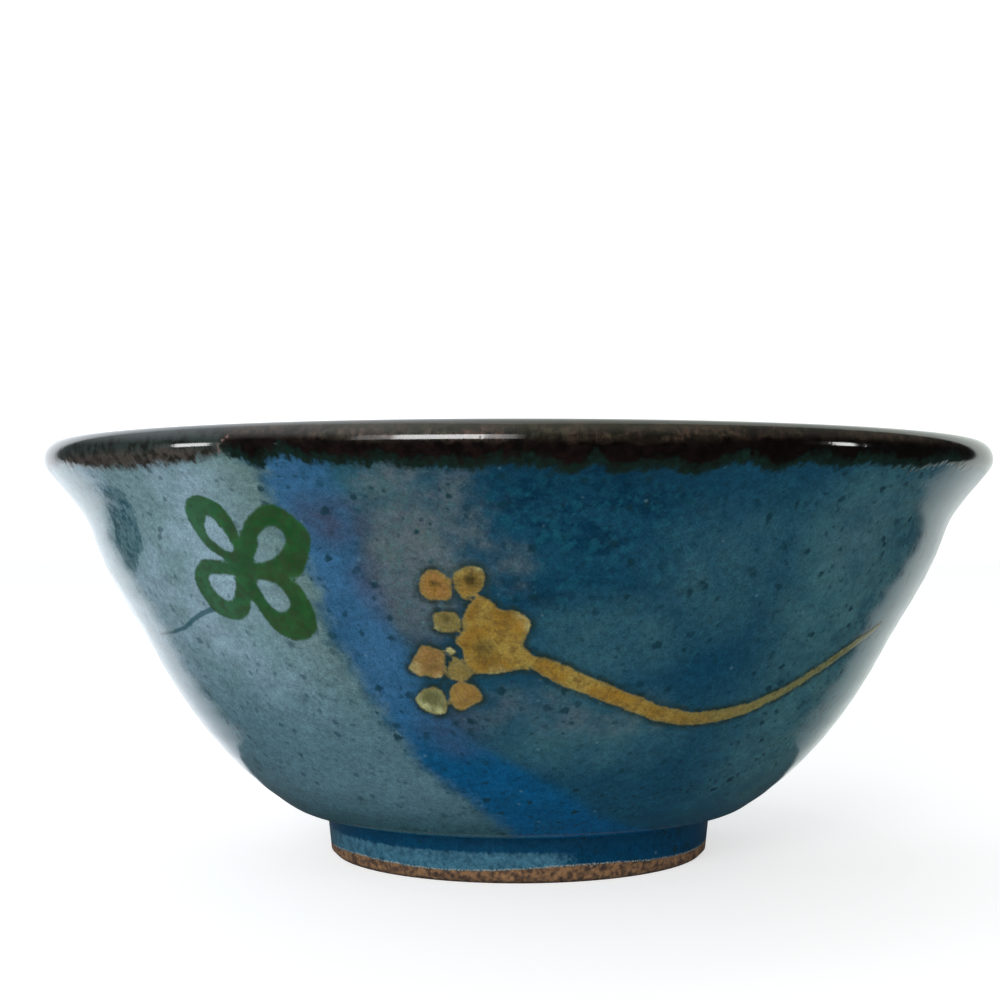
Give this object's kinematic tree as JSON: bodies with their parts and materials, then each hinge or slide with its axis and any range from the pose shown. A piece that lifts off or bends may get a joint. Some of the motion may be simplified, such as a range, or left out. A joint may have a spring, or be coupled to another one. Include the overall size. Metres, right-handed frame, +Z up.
{
  "type": "serving bowl",
  "caption": "Wide thrown stoneware serving bowl with a rolled, flared lip, a round belly and a turned foot ring; hollow and open at the top.",
  "frame": {"origin": "centre of the foot ring's flat underside, where the bowl stands", "axes": "+Z up along the axis the bowl was turned on; the flower side faces -Y"},
  "size_m": [0.2, 0.2, 0.087],
  "materials": {
    "glazed_stoneware": "glossy mottled blue glaze with a dark brown glazed lip, brushed flower sprays and a bare brown clay edge under the foot"
  },
  "bodies": {
    "root": {"bowl": "glazed_stoneware"}
  },
  "joints": []
}
